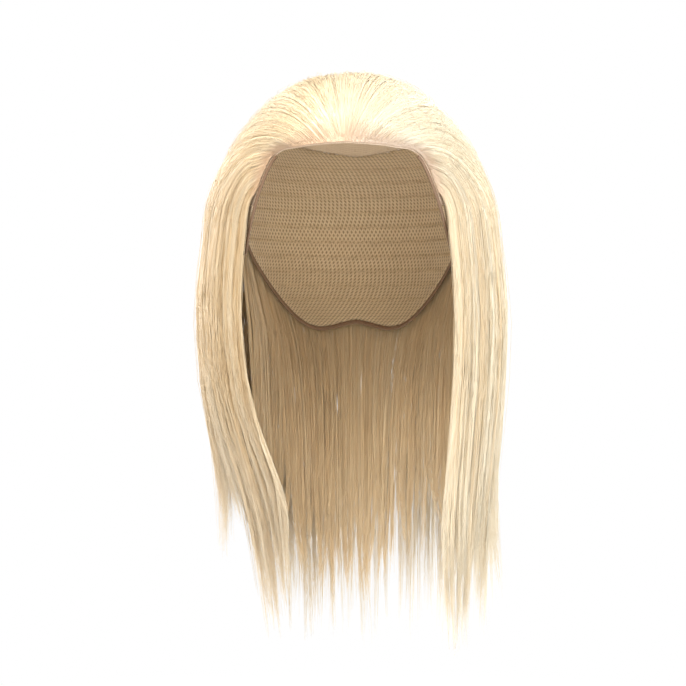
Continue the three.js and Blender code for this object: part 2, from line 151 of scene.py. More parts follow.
# %% A socket that can be added, multiplied and linked
class Wire:
    """A socket of a node tree."""

    def __init__(self, tree, socket):
        self.tree, self.socket = tree, socket

    @classmethod
    def make(cls, tree, kind, settings=None, sockets=None, output=0):
        node = tree.nodes.new(kind)
        for name, value in (settings or {}).items():
            if name == "stops":
                cls.set_stops(node.color_ramp, value)
            elif name == "captures":
                for item in value:
                    node.capture_items.new("FLOAT", item)
            else:
                setattr(node, name, value)
        for name, value in (sockets or {}).items():
            shown = [s for s in node.inputs if s.enabled]
            socket = shown[name] if isinstance(name, int) else next(s for s in shown if s.name == name)
            if isinstance(value, Wire):
                tree.links.new(value.socket, socket)
            else:
                socket.default_value = value
        given = [s for s in node.outputs if s.enabled]
        if isinstance(output, int):
            return cls(tree, given[output])
        return cls(tree, next(s for s in given if s.name == output))

    @staticmethod
    def set_stops(ramp, stops):
        while len(ramp.elements) < len(stops):
            ramp.elements.new(1.0)
        for element, (place, colour) in zip(ramp.elements, stops):
            element.position, element.color = place, (*colour, 1.0)

    def output(self, name):
        return Wire(self.tree, next(s for s in self.socket.node.outputs if s.name == name))

    def math(self, operation, *others):
        sockets = dict(enumerate((self, *others)))
        return Wire.make(self.tree, "ShaderNodeMath", {"operation": operation}, sockets)

    def clamp(self, low, high):
        return self.math("MAXIMUM", low).math("MINIMUM", high)

    def vector(self, operation, *others):
        sockets = dict(enumerate((self, *others)))
        return Wire.make(self.tree, "ShaderNodeVectorMath", {"operation": operation}, sockets)

    def times(self, factor):
        sockets = {0: self, "Scale": factor}
        return Wire.make(self.tree, "ShaderNodeVectorMath", {"operation": "SCALE"}, sockets)

    def ramp(self, stops):
        return Wire.make(self.tree, "ShaderNodeValToRGB", {"stops": stops}, {"Fac": self})

    def blend(self, other, factor):
        settings = {"data_type": "RGBA", "blend_type": "MIX"}
        sockets = {"Factor": factor, "A": self, "B": other}
        return Wire.make(self.tree, "ShaderNodeMix", settings, sockets)

    def __add__(self, other):
        return self.math("ADD", other)

    __radd__ = __add__

    def __sub__(self, other):
        return self.math("SUBTRACT", other)

    def __rsub__(self, other):
        return Wire.make(self.tree, "ShaderNodeMath", {"operation": "SUBTRACT"}, {0: other, 1: self})

    def __mul__(self, other):
        return self.math("MULTIPLY", other)

    __rmul__ = __mul__

    def __truediv__(self, other):
        return self.math("DIVIDE", other)

    def __pow__(self, other):
        return self.math("POWER", other)


def new_finish(name):
    finish = bpy.data.materials.new(name)
    finish.use_nodes = True
    tree = finish.node_tree
    shader = tree.nodes["Principled BSDF"]
    return finish, tree, shader


def feed(wire, shader, socket):
    wire.tree.links.new(wire.socket, shader.inputs[socket])


print("Wire is ready")

# %% [markdown]
# ## Camera
#
# The camera stands level with the middle of the wig and a little to the wearer's left. A near camera
# would make the front locks look longer than the back ones, so it stands well away, with a long lens
# that follows from the distance and from how many millimetres one pixel has to show.

# %% Camera
IMAGE = 686
MM_PER_PIXEL = 0.70
FILM_WIDTH = 36.0
CAMERA = {"distance": 1700.0, "level": -178.0, "turn": 3.0, "sideways": -5.6}
FAR_CLIP = 30.0


def add_camera():
    data = bpy.data.cameras.new("camera")
    data.sensor_width = FILM_WIDTH
    data.lens = FILM_WIDTH * CAMERA["distance"] / (IMAGE * MM_PER_PIXEL)
    data.clip_end = FAR_CLIP
    camera = bpy.data.objects.new("camera", data)
    turn = math.radians(CAMERA["turn"])
    right = Vector((math.cos(turn), math.sin(turn), 0))
    back = Vector((math.sin(turn), -math.cos(turn), 0))
    place = back * CAMERA["distance"] + right * CAMERA["sideways"]
    camera.location = (place + Vector((0, 0, CAMERA["level"]))) * MM
    camera.rotation_euler = (math.radians(90), 0, turn)
    bpy.context.scene.collection.objects.link(camera)
    bpy.context.scene.camera = camera
    return camera


print("lens", round(add_camera().data.lens, 1))

# %% [markdown]
# ## Light
#
# Pale hair takes its shape from soft light that is stronger on one side. A cool lamp on the wearer's
# left and a warm one high in front do most of the work, a weak one fills the front, and two white
# ones behind light the edges. One lamp alone would leave the far side brown. The room looks white to
# the camera but gives less light than it looks to, so that shade stays shade.

# %% Lamps and the white room
LAMPS = {
    "key": {"place": (1.9, -0.9, 0.7), "size": 1.0, "power": 39.0, "colour": (0.76, 0.88, 1.0)},
    "top": {"place": (-0.5, -0.95, 1.75), "size": 1.2, "power": 66.0, "colour": (1.0, 0.93, 0.84)},
    "front": {"place": (0.6, -2.6, 0.0), "size": 1.6, "power": 16.0, "colour": (1.0, 0.92, 0.80)},
    "rim": {"place": (1.5, 1.1, 0.2), "size": 1.0, "power": 22.0, "colour": (1.0, 1.0, 1.0)},
    "back": {"place": (-1.5, 1.2, 0.1), "size": 1.0, "power": 20.0, "colour": (1.0, 1.0, 1.0)},
}
ROOM_LIGHT = 0.28
ROOM_WARMTH = (1.0, 0.83, 0.58, 1.0)
AIM = Vector((0, 0, -0.16))


def add_lamp(name, place, size, power, colour):
    data = bpy.data.lights.new(name, "AREA")
    data.shape, data.size, data.energy, data.color = "DISK", size, power, colour
    lamp = bpy.data.objects.new(name, data)
    lamp.location = place
    lamp.rotation_euler = (AIM - lamp.location).to_track_quat("-Z", "Y").to_euler()
    bpy.context.scene.collection.objects.link(lamp)


def white_room():
    world = bpy.data.worlds.new("white_room")
    world.use_nodes = True
    tree = world.node_tree
    walls = tree.nodes["Background"]
    seen = Wire.make(tree, "ShaderNodeLightPath", output="Is Camera Ray")
    sockets = {"Factor": seen, "A": ROOM_WARMTH, "B": (1, 1, 1, 1)}
    feed(Wire.make(tree, "ShaderNodeMix", {"data_type": "RGBA"}, sockets), walls, "Color")
    feed(seen * (1.0 - ROOM_LIGHT) + ROOM_LIGHT, walls, "Strength")
    return world


for lamp_name, lamp in LAMPS.items():
    add_lamp(lamp_name, **lamp)
bpy.context.scene.world = white_room()
bpy.context.scene.view_settings.view_transform = "Standard"
print("lamps", sorted(LAMPS))

# %% [markdown]
# ## Floor
#
# A plain pale floor lies below the ends of the hair and takes a faint shadow. A floor of one colour
# would end in a grey horizon, so this one fades outwards into white of its own, the white of the room.

# %% Floor
FLOOR = {"below": 0.108, "radius": 2.6, "pale_to": 0.15, "white_from": 0.75}
PALE_FLOOR = (0.86, 0.855, 0.845, 1)


def floor_finish():
    finish, tree, shader = new_finish("white_floor")
    away = Wire.make(tree, "ShaderNodeTexCoord", output="Object").vector("LENGTH")
    sockets = {"Value": away, "From Min": FLOOR["pale_to"], "From Max": FLOOR["white_from"]}
    far = Wire.make(tree, "ShaderNodeMapRange", {"interpolation_type": "SMOOTHSTEP"}, sockets)
    pale = Wire.make(tree, "ShaderNodeRGB")
    pale.socket.default_value = PALE_FLOOR
    feed(pale.blend((0, 0, 0, 1), far), shader, "Base Color")
    shader.inputs["Roughness"].default_value = 0.7
    shader.inputs["Specular IOR Level"].default_value = 0.0
    shader.inputs["Emission Strength"].default_value = 1.0
    white = Wire.make(tree, "ShaderNodeCombineXYZ", sockets={0: far, 1: far, 2: far})
    feed(white, shader, "Emission Color")
    return finish


def add_floor():
    bpy.ops.mesh.primitive_circle_add(vertices=96, radius=FLOOR["radius"], fill_type="NGON")
    floor = bpy.context.object
    floor.name = "floor"
    floor.location = (0, 0, cad_box[0][2] - FLOOR["below"])
    floor.data.materials.append(floor_finish())
    return floor


print("floor at", round(add_floor().location.z, 3))

# %% [markdown]
# ## Cloth of the cap
#
# Each panel is its own cloth: fine monofilament gauze on the crown, lace behind the hairline, a
# stretch net at the back and plain woven tabs at the ears. The threads are too fine to model one by
# one, so a finish draws them and a bump raises them. A pattern that follows the panel needs a map of
# it, so each panel carries one, in centimetres along and down the cloth.

# %% Threads, stains and relief
def cloth_place(tree):
    place = Wire.make(tree, "ShaderNodeUVMap", {"uv_map": "cloth"})
    along = Wire.make(tree, "ShaderNodeSeparateXYZ", sockets={0: place})
    return place, along, along.output("Y")


def ridges(wire, per_cm):
    """Rounded threads side by side: 1 on a thread and 0 between two."""
    return (wire * (math.pi * per_cm)).math("SINE").math("ABSOLUTE")


def noise(place, scale, detail, settings=None):
    sockets = {"Vector": place, "Scale": scale, "Detail": detail}
    return Wire.make(place.tree, "ShaderNodeTexNoise", settings, sockets)


def stains(place, scale):
    return noise(place, scale, 3.0)


def lay_cloth(shader, colour, roughness, relief, strength, depth, sheen):
    """Feeds a cloth to its shader. The relief rises by depth, in millimetres."""
    feed(colour, shader, "Base Color")
    feed(roughness, shader, "Roughness")
    sockets = {"Strength": strength, "Distance": depth * MM, "Height": relief}
    feed(Wire.make(relief.tree, "ShaderNodeBump", sockets=sockets), shader, "Normal")
    shader.inputs["Sheen Weight"].default_value = sheen


print("cloth helpers are ready")

# %% Finishes of the cloth
KNOT_COLOUR = (0.62, 0.45, 0.25, 1)
NET_STAIN = (0.50, 0.36, 0.20, 1)
NET_SLANT = 0.8


def gauze_finish(name, thread, gap, per_cm, knots):
    """Crossed threads with gaps between them and a tied knot here and there."""
    finish, tree, shader = new_finish(name)
    place, along, down = cloth_place(tree)
    weave = ridges(along, per_cm).math("MAXIMUM", ridges(down, per_cm)) ** 1.5
    spots = Wire.make(tree, "ShaderNodeTexVoronoi", sockets={"Vector": place, "Scale": knots})
    knot = 1 - (spots * 4.2).math("MINIMUM", 1.0)
    stain = (gap[0] * 0.92, gap[1] * 0.88, gap[2] * 0.82, 1)
    aged = weave.ramp([(0.0, gap), (1.0, thread)]).blend(stain, (stains(place, 1.4) - 0.35) * 0.35)
    colour = aged.blend(KNOT_COLOUR, knot * 0.75)
    lay_cloth(shader, colour, 0.82 - weave * 0.14, weave + knot * 1.5, 0.5, 0.4, 0.15)
    return finish


def net_finish(name, thread, gap, per_cm):
    """Slanting elastic cords that cross in diamonds."""
    finish, tree, shader = new_finish(name)
    place, along, down = cloth_place(tree)
    one = ridges(along + down * NET_SLANT, per_cm) ** 3
    other = ridges(along - down * NET_SLANT, per_cm) ** 3
    cord = one.math("MAXIMUM", other)
    colour = cord.ramp([(0.15, gap), (0.7, thread)]).blend(NET_STAIN, (stains(place, 1.1) - 0.4) * 0.6)
    lay_cloth(shader, colour, 0.88 - cord * 0.2, cord, 0.7, 0.6, 0.2)
    return finish


def tape_finish(name, colour, edge, per_cm):
    """A narrow woven tape with slanting twill lines."""
    finish, tree, shader = new_finish(name)
    place, along, down = cloth_place(tree)
    twill = ridges(along + down, per_cm)
    worn = (twill * 0.7 + stains(place, 2.5) * 0.4).ramp([(0.0, edge), (0.8, colour)])
    lay_cloth(shader, worn, 0.9 - twill * 0.12, twill, 0.5, 0.3, 0.0)
    return finish


GAUZE = gauze_finish("mono_gauze", (0.86, 0.72, 0.54), (0.66, 0.51, 0.35), 9.0, 3.0)
LACE = gauze_finish("front_lace", (0.88, 0.70, 0.54), (0.74, 0.56, 0.42), 6.0, 2.4)
NET = net_finish("stretch_net", (0.80, 0.65, 0.44), (0.42, 0.31, 0.19), 2.6)
TAB_CLOTH = gauze_finish("tab_cloth", (0.80, 0.64, 0.44), (0.60, 0.45, 0.29), 7.0, 1.0)
TAPE = tape_finish("edge_tape", (0.30, 0.19, 0.12), (0.13, 0.08, 0.05), 8.0)
print("cloth finishes", [m.name for m in (GAUZE, LACE, NET, TAB_CLOTH, TAPE)])

# %% [markdown]
# ## Panels
#
# A panel is a thin wall on the form, between an upper and a lower edge. A sheet with a Solidify
# modifier would do, but its edges would be square. Here the wall's outline, with rounded edges, is
# repeated along the panel. The solid has few faces, and this wall has enough to look round.

# %% From points to a seated piece
def add_piece(name, points, faces, finish, cloth):
    mesh = bpy.data.meshes.new(name)
    mesh.from_pydata([tuple(p) for p in np.asarray(points) * MM], [], faces)
    mesh.update()
    layer = mesh.uv_layers.new(name="cloth")
    for loop in mesh.loops:
        layer.data[loop.index].uv = cloth[loop.vertex_index]
    mesh.polygons.foreach_set("use_smooth", [True] * len(mesh.polygons))
    mesh.materials.append(finish)
    piece = bpy.data.objects.new(name, mesh)
    bpy.context.scene.collection.objects.link(piece)
    return piece


def seat(piece, slot, *nodes):
    """Fixes a finished piece to the wig in place of its solids."""
    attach(piece, "root")
    if nodes:
        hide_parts(*nodes)
    return piece


def tube_faces(rings, ring):
    """Faces of a tube whose points lie ring after ring, with a cap on both ends."""
    faces = []
    for here in range(0, (rings - 1) * ring, ring):
        there = here + ring
        for k in range(ring):
            n = (k + 1) % ring
            faces.append((here + k, here + n, there + n, there + k))
    faces.append(tuple(range(ring - 1, -1, -1)))
    faces.append(tuple(range((rings - 1) * ring, rings * ring)))
    return faces


print("faces of a capped box", len(tube_faces(2, 4)))

# %% Panels of the lace, the net and the tabs
ROUND_OVER = CAP_WALL * 0.4
CM_PER_DEGREE = FORM[1] * math.radians(1.0) / 10


def wall_section(upper, lower, rows):
    """Polar angle and lift of the wall's outline, round its cut edges, down the outside and back."""
    edge = math.degrees(ROUND_OVER / FORM[1])
    down = [upper + edge + (lower - upper - 2 * edge) * r / rows for r in range(rows + 1)]
    outside = [(p, CAP_WALL) for p in down]
    inside = [(p, 0.0) for p in reversed(down)]
    return [(upper, CAP_WALL / 2), *outside, (lower, CAP_WALL / 2), *inside]


def cap_panel(name, start, end, columns, rows, upper, lower, finish, slot):
    points, cloth = [], []
    for c in range(columns + 1):
        azimuth = start + (end - start) * c / columns
        section = wall_section(upper(azimuth), lower(azimuth), rows)
        for polar, lift in section:
            points.append(off_form(direction(azimuth, polar), lift))
            along = azimuth * math.sin(math.radians(polar))
            cloth.append((along * CM_PER_DEGREE, polar * CM_PER_DEGREE))
    faces = tube_faces(columns + 1, len(section))
    return seat(add_piece(f"{name}_cloth", points, faces, finish, cloth), slot, name)


def below_mono(azimuth):
    return mono_edge(azimuth) + SEAM_ANGLE


def lace_edge(azimuth):
    return min(cap_edge(azimuth), TAB["top"])


def tab_top(azimuth):
    return TAB["top"] + SEAM_ANGLE


NET_FROM = TAB["to"] + SEAM_ANGLE
print("net from", round(NET_FROM, 2), "to", round(360 - NET_FROM, 2))

# %% [markdown]
# ## The crown
#
# The gauze on the crown is a bowl: its rows close in on the crown point, outside and inside, and one
# more row of points rounds the rim between them. A sphere from the menu has the wrong rim, because
# this one dips towards the back.

# %% Crown of gauze, and all panels
RIM_ANGLE = 0.35


def add_crown(name, columns, rows, finish, slot):
    azimuths = [360 * c / columns for c in range(columns)]
    points, faces = [], []
    for lift in (CAP_WALL, 0.0):
        points.append(off_form(direction(0, 0), lift))
        for r in range(1, rows + 1):
            shrink = RIM_ANGLE if r == rows else 0.0
            for azimuth in azimuths:
                points.append(off_form(direction(azimuth, mono_edge(azimuth) * r / rows - shrink), lift))
        if lift:
            rim = len(points)
            points += [off_form(direction(a, mono_edge(a)), CAP_WALL / 2) for a in azimuths]
    inner = rim + columns

    def at(layer, r, c):
        return layer + (0 if r == 0 else 1 + (r - 1) * columns + c % columns)

    for c in range(columns):
        n = (c + 1) % columns
        faces.append((at(0, 0, 0), at(0, 1, c), at(0, 1, n)))
        faces.append((at(inner, 0, 0), at(inner, 1, n), at(inner, 1, c)))
        for r in range(1, rows):
            faces.append((at(0, r, c), at(0, r + 1, c), at(0, r + 1, n), at(0, r, n)))
            faces.append((at(inner, r, n), at(inner, r + 1, n), at(inner, r + 1, c), at(inner, r, c)))
        faces.append((at(0, rows, c), rim + c, rim + n, at(0, rows, n)))
        faces.append((at(inner, rows, n), rim + n, rim + c, at(inner, rows, c)))
    cloth = [(p[0] / 10, p[1] / 10) for p in points]
    return seat(add_piece(f"{name}_cloth", points, faces, finish, cloth), slot, name)


panels = [
    add_crown("mono_top", 96, 20, GAUZE, "mono_top"),
    cap_panel("lace_front", -TAB["to"], TAB["to"], 120, 16, below_mono, lace_edge, LACE, "lace_front"),
    cap_panel("net_back", NET_FROM, 360 - NET_FROM, 132, 24, below_mono, cap_edge, NET, "net_back"),
]
for side, start, end in (("left", TAB["from"], TAB["to"]), ("right", -TAB["to"], -TAB["from"])):
    name = f"ear_tab_{side}"
    panels.append(cap_panel(name, start, end, 24, 8, tab_top, cap_edge, TAB_CLOTH, "ear_tab"))
print("panels", {p.name: len(p.data.polygons) for p in panels})

# %% [markdown]
# ## Tape on the cap's edge
#
# A folded tape finishes the cap from one temple, round the ears and the nape, to the other. Its
# finish is dark brown, so it shows as a dark line at both temples. A curve with a flat profile would
# twist where the edge turns, so the tape is made of rings of points that follow the edge and lie on
# the form's slope.

# %% Edge tape
BINDING = {"from": 46.75, "width": 3.0, "thickness": 1.4, "steps": 260}
EDGE_LOOK = 0.4
UNDERSIDE = 0.4
# Places round the tape as shares of its width and thickness: the upper side, then the lower one.
TAPE_TOP = ((0.0, 0.25), (0.12, 0.5), (0.88, 0.5), (1.0, 0.25))
TAPE_SECTION = (*TAPE_TOP, *((across, -height) for across, height in reversed(TAPE_TOP)))


def on_edge(azimuth):
    return off_form(direction(azimuth, cap_edge(azimuth)), CAP_WALL / 2)


def edge_frames():
    """Places along the cap's edge, each with the way off the form and the way off the cloth."""
    for i in range(BINDING["steps"] + 1):
        azimuth = BINDING["from"] + (360 - 2 * BINDING["from"]) * i / BINDING["steps"]
        here = on_edge(azimuth)
        along = on_edge(azimuth + EDGE_LOOK) - on_edge(azimuth - EDGE_LOOK)
        out = form_normal(here)
        away = np.cross(along, out)
        yield here, out, away / np.linalg.norm(away)


def add_binding():
    points, cloth = [], []
    travelled, before = 0.0, on_edge(BINDING["from"])
    for here, out, away in edge_frames():
        travelled += np.linalg.norm(here - before)
        before = here
        for across, height in TAPE_SECTION:
            reach = SEAM_GAP + across * BINDING["width"]
            points.append(here + away * reach + out * height * BINDING["thickness"])
            shift = UNDERSIDE if height < 0 else 0.0
            cloth.append((travelled / 10, (across + shift) * BINDING["width"] / 10))
    faces = tube_faces(BINDING["steps"] + 1, len(TAPE_SECTION))
    print("edge tape, mm", round(travelled))
    return seat(add_piece("edge_tape", points, faces, TAPE, cloth), "edge_binding", "edge_binding")


print("edge tape faces", len(add_binding().data.polygons))

# %% [markdown]
# ## Stitches
#
# Rows of zigzag stitches hold the wefts to the net, a finer zigzag closes the seam round the crown,
# and a running stitch holds the edge tape. A stitch repeats along a line, so Geometry Nodes place
# it: one arched bit of thread, set on points at an even pitch, turned to lie on the cloth.

# %% Helpers for node trees
def open_tree(name, sizes):
    """A new tree with named inputs. Gives a way to add nodes, and the inputs as wires."""
    tree = bpy.data.node_groups.new(name, "GeometryNodeTree")
    for label, (kind, value) in sizes.items():
        item = tree.interface.new_socket(label, in_out="INPUT", socket_type=f"NodeSocket{kind}")
        if value is not None:
            item.default_value = value
    tree.interface.new_socket("Geometry", in_out="OUTPUT", socket_type="NodeSocketGeometry")
    given = tree.nodes.new("NodeGroupInput")
    size = {label: Wire(tree, given.outputs[label]) for label in sizes}
    return functools.partial(Wire.make, tree), size


def stored(node, label, kind):
    return node("GeometryNodeInputNamedAttribute", {"data_type": kind}, {"Name": label})


def close_tree(node, geometry, finish):
    """Ends a tree: instances become real, faces smooth, and the finish is set."""
    real = node("GeometryNodeRealizeInstances", None, {"Geometry": geometry})
    soft = node("GeometryNodeSetShadeSmooth", None, {"Geometry": real})
    done = node("GeometryNodeSetMaterial", None, {"Geometry": soft, "Material": finish})
    tree = done.tree
    tree.links.new(done.socket, tree.nodes.new("NodeGroupOutput").inputs["Geometry"])
    return tree


def run_nodes(piece, tree, values):
    """Runs a tree on a piece and keeps the result as a plain mesh, with the modifier gone."""
    modifier = piece.modifiers.new(tree.name, "NODES")
    modifier.node_group = tree
    keys = {item.name: item.identifier for item in tree.interface.items_tree if item.in_out == "INPUT"}
    for label, value in values.items():
        modifier[keys[label]] = value
    depsgraph = bpy.context.evaluated_depsgraph_get()
    made = piece.evaluated_get(depsgraph)
    mesh = bpy.data.meshes.new_from_object(made, preserve_all_data_layers=True, depsgraph=depsgraph)
    piece.modifiers.clear()
    piece.data = mesh
    return piece


def add_lines(name, points, edges, notes):
    """Lines for a tree to work on, with notes stored at their points."""
    mesh = bpy.data.meshes.new(name)
    mesh.from_pydata([tuple(p) for p in np.asarray(points) * MM], edges, [])
    for label, values in notes.items():
        values = np.array(values, np.float32)
        kind, field = ("FLOAT_VECTOR", "vector") if values.ndim == 2 else ("FLOAT", "value")
        layer = mesh.attributes.new(label, kind, "POINT")
        layer.data.foreach_set(field, values.ravel())
    lines = bpy.data.objects.new(name, mesh)
    bpy.context.scene.collection.objects.link(lines)
    return lines


print("helpers for node trees are ready")


# %% The stitch tree
def stitch_tree():
    sizes = {
        "Lines": ("Geometry", None),
        "Pitch": ("Float", 2.6 * MM),
        "Stitch length": ("Float", 3.0 * MM),
        "Thread radius": ("Float", 0.2 * MM),
        "Slant": ("Float", 0.6),
        "Thread finish": ("Material", None),
    }
    node, size = open_tree("sew_stitches", sizes)
    half = size["Stitch length"] * 0.5
    ends = [node("ShaderNodeCombineXYZ", None, {0: x}) for x in (half * -1.0, half)]
    bit = node("GeometryNodeCurvePrimitiveLine", {"mode": "POINTS"}, {"Start": ends[0], "End": ends[1]})
    bit = node("GeometryNodeResampleCurve", {"mode": "COUNT"}, {"Curve": bit, "Count": 4})
    along = node("GeometryNodeSplineParameter")
    arch = (along * math.pi).math("SINE") * size["Thread radius"] * 2.0
    lift = node("ShaderNodeCombineXYZ", None, {2: arch})
    bit = node("GeometryNodeSetPosition", None, {"Geometry": bit, "Offset": lift})
    ring = node("GeometryNodeCurvePrimitiveCircle", {"mode": "RADIUS"}, {"Resolution": 4, "Radius": 1.0})
    sockets = {"Curve": bit, "Profile Curve": ring, "Scale": size["Thread radius"], "Fill Caps": True}
    thread = node("GeometryNodeCurveToMesh", None, sockets)

    lines = node("GeometryNodeMeshToCurve", None, {"Mesh": size["Lines"]})
    sockets = {"Curve": lines, "Length": size["Pitch"]}
    lines = node("GeometryNodeResampleCurve", {"mode": "LENGTH"}, sockets)
    sockets = {"Vector": stored(node, "off_cloth", "FLOAT_VECTOR")}
    turn = node("FunctionNodeAlignRotationToVector", {"axis": "Z"}, sockets)
    sockets = {"Rotation": turn, "Vector": node("GeometryNodeInputTangent")}
    turn = node("FunctionNodeAlignRotationToVector", {"axis": "X", "pivot_axis": "Z"}, sockets)
    flip = (node("GeometryNodeInputIndex").math("MODULO", 2.0) * 2.0 - 1.0) * size["Slant"]
    lean = node("FunctionNodeEulerToRotation", None, {0: node("ShaderNodeCombineXYZ", None, {2: flip})})
    sockets = {"Rotation": turn, "Rotate By": lean}
    turn = node("FunctionNodeRotateRotation", {"rotation_space": "LOCAL"}, sockets)
    sockets = {"Points": lines, "Instance": thread, "Rotation": turn}
    sewn = node("GeometryNodeInstanceOnPoints", None, sockets)
    return close_tree(node, sewn, size["Thread finish"])


STITCHES = stitch_tree()
print("stitch tree nodes", len(STITCHES.nodes))

# %% [markdown]
# ## Where the stitches run
#
# The wefts lie in level rows on the inside of the net, and a row stops short of the cap's edge. The
# crown seam runs once round the gauze, and the tape is sewn on both of its sides. Each line is a list
# of points and of the way off the cloth there, because the tree can't see the cloth.

# %% Lines to sew along
WEFT_ROWS = {"first": 60.0, "step": 6.2, "count": 10, "margin": 2.4}
LINE_STEP = 2.0
THREAD_OFF = {"weft": 0.12, "crown": 0.1, "tape": 0.05}


def inside_cap(azimuth, polar, off):
    point = off_form(direction(azimuth, polar), -off)
    return point, -form_normal(point)


def weft_lines():
    """The rows of weft, each broken where the net ends."""
    first, last = TAB["to"] + LINE_STEP, 360 - TAB["to"] - LINE_STEP
    for row in range(WEFT_ROWS["count"]):
        polar = WEFT_ROWS["first"] + WEFT_ROWS["step"] * row
        line = []
        for azimuth in np.arange(first, last + LINE_STEP / 2, LINE_STEP):
            room = min(polar - below_mono(azimuth), cap_edge(azimuth) - polar)
            if room > WEFT_ROWS["margin"]:
                line.append(inside_cap(azimuth, polar, THREAD_OFF["weft"]))
            elif line:
                yield line
                line = []
        if line:
            yield line


def crown_lines():
    azimuths = np.arange(0, 360 + LINE_STEP / 2, LINE_STEP)
    yield [inside_cap(a, mono_edge(a) + SEAM_ANGLE / 2, THREAD_OFF["crown"]) for a in azimuths]


def tape_lines():
    middle = SEAM_GAP + BINDING["width"] / 2
    for side in (1, -1):
        lift = side * (BINDING["thickness"] / 2 + THREAD_OFF["tape"])
        yield [(here + away * middle + out * lift, out * side) for here, out, away in edge_frames()]


print("weft lines", len(list(weft_lines())))

# %% [markdown]
# ## Sewing
#
# Thread is twisted, so its finish has a fine grain of light and dark. The same tree sews all three
# kinds of stitch: only its inputs differ. A running stitch is a zigzag that doesn't slant.

# %% Sew the cap
SEWING = {
    "weft_stitches": {"pitch": 1.9, "length": 3.4, "radius": 0.26, "slant": 0.75, "slot": "net_back"},
    "crown_stitches": {"pitch": 1.6, "length": 2.6, "radius": 0.18, "slant": 0.8, "slot": "mono_top"},
    "tape_stitches": {"pitch": 3.2, "length": 2.1, "radius": 0.20, "slant": 0.0, "slot": "edge_binding"},
}
TWIST = 900.0


def thread_finish(name, colour):
    finish, tree, shader = new_finish(name)
    twist = noise(Wire.make(tree, "ShaderNodeTexCoord", output="Object"), TWIST, 2.0)
    dark = (colour[0] * 0.7, colour[1] * 0.66, colour[2] * 0.6)
    feed(twist.ramp([(0.3, dark), (0.7, colour)]), shader, "Base Color")
    feed(0.55 + twist * 0.25, shader, "Roughness")
    return finish


def sew(name, lines, finish):
    points, off_cloth, edges = [], [], []
    for line in lines:
        edges += [(len(points) + i, len(points) + i + 1) for i in range(len(line) - 1)]
        points += [point for point, off in line]
        off_cloth += [off for point, off in line]
    sizes = SEWING[name]
    values = {
        "Pitch": sizes["pitch"] * MM,
        "Stitch length": sizes["length"] * MM,
        "Thread radius": sizes["radius"] * MM,
        "Slant": sizes["slant"],
        "Thread finish": finish,
    }
    piece = add_lines(name, points, edges, {"off_cloth": off_cloth})
    return seat(run_nodes(piece, STITCHES, values), sizes["slot"])


PALE_THREAD = thread_finish("pale_thread", (0.82, 0.66, 0.44))
DARK_THREAD = thread_finish("dark_thread", (0.34, 0.22, 0.14))
sewn = [
    sew("weft_stitches", weft_lines(), PALE_THREAD),
    sew("crown_stitches", crown_lines(), PALE_THREAD),
    sew("tape_stitches", tape_lines(), DARK_THREAD),
]
print("stitches", {piece.name: len(piece.data.polygons) for piece in sewn})

# %% [markdown]
# ## Combing rules
#
# A strand leaves the hairline, is swept sideways over the crown, turns half-way plumb above the ears
# and falls at its own azimuth, standing off the form more and more on the way. Lower down one side
# hangs further in than the other. Hair could be combed by hand with Blender's brushes, but tables can
# be read and changed, and these are those of the solids, so the strands stay where the solids are.

# %% Combing tables
COMBING = {
    "root": (0, 4, 10, 22, 34, 43, 49, 55),
    "over": (180, 120, 86, 76, 76, 74, 68, 60),
    "crest": (30, 30, 35, 45, 53, 60, 68, 80),
    "fall": (180, 156, 132, 110, 93, 79, 69, 59),
    "stand": (1, 1, 1, 1, 1, 0.85, 0.45, 0.06),
    "loft": (1.2, 2.5, 1.5, 0.5, 0, 0, 0, 0),
}
DRAPE = {
    1: {"fall": (59, 90, 180), "inward": (10, 8, 0), "forward": (16, 14, 14)},
    -1: {
        "fall": (59, 74, 86, 100, 108, 116, 132, 180),
        "inward": (31, 28, 20, 15, 16, 26, 26, 0),
        "forward": (-22, -20, -16, -10, -5, 0, 6, 14),
    },
}
DRAPED = {"level": -286.0, "curve": 3.2}
EAR_FLARE = {"reach": 5.0, "drop": 42.0}
PLUMB_TURN = 0.5
ROOT_INSET = 0.2
SLOW_START = 1.2
CLEARANCE = {"root": 0.4, "fall": 1.6, "rise": 10.0}
NAPE = {"from": 105.0, "root": 93.0, "lowest": 122.0, "past_edge": 4.0, "turn": 34.0, "top": -165.0}
NAPE_INWARD = {"middle": 25.0, "sides": 8.0, "curve": 3}
print("combing rows", len(COMBING["root"]))


# %% A point of the combed hair
def combed(root):
    """The directions that steer a strand, and how it stands off and drapes."""
    near, side = abs(root), (-1 if root < 0 else 1)
    row = {c: between(COMBING, "root", c, near) for c in ("over", "crest", "fall", "stand", "loft")}
    swept = direction(side * row["over"], row["crest"])
    start = direction(root, cap_edge(root) - ROOT_INSET)
    plumb = direction(side * row["fall"], 90)
    turn = (plumb + 2 * swept) / 3
    height = np.linalg.norm(turn)
    above = direction(side * row["fall"], math.degrees(math.acos(turn[2] / height))) * height
    return {
        "steer": (start, (start + 2 * swept) / 3, turn + (above - turn) * PLUMB_TURN, plumb),
        "stand": row["stand"],
        "loft": row["loft"],
        "inward": side * between(DRAPE[side], "fall", "inward", row["fall"]),
        "forward": between(DRAPE[side], "fall", "forward", row["fall"]),
    }


def clear_of_cap(way):
    rise = smooth(way * CLEARANCE["rise"])
    return CAP_WALL + CLEARANCE["root"] + (CLEARANCE["fall"] - CLEARANCE["root"]) * rise


